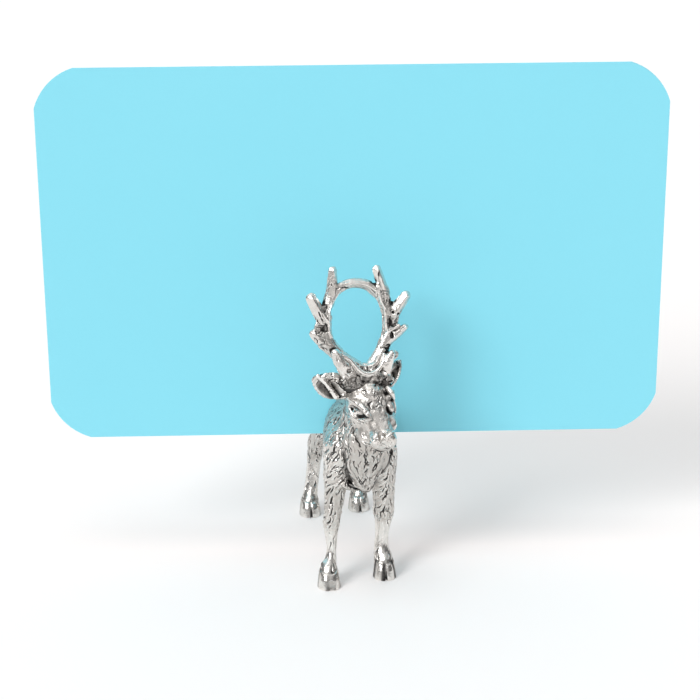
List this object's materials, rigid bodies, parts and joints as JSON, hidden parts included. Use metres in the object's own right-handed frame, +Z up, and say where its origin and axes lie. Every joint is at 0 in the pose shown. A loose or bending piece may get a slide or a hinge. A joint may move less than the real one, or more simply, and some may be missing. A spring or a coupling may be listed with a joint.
{
  "type": "place card holder",
  "caption": "Cast metal deer figurine with a slot sawn across its back that holds an upright place card with clipped corners.",
  "frame": {"origin": "on the ground, under the middle of the whole part's box", "axes": "+X to the right along the card as its face is seen, +Y away from the reader through the card, +Z up; the deer faces -Y"},
  "size_m": [0.0888, 0.0382, 0.0739],
  "materials": {
    "body_casting": "cast pewter, fine fur strokes darkened by an antique wash and the high places burnished bright",
    "antler_casting": "cast pewter, bark-like relief darkened in its hollows and burnished on its ridges",
    "solder": "dull dark solder film",
    "card": "plain uncoated sky-blue card"
  },
  "bodies": {
    "figure": {"deer_body": "body_casting", "antler_ring": "antler_casting", "solder_seam": "solder"},
    "card": {"place_card": "card"}
  },
  "joints": [
    {"name": "card_lift", "type": "slide", "parent": "figure", "child": "card", "axis": [0, 0, 1], "range_m": [0, 0.009]}
  ]
}
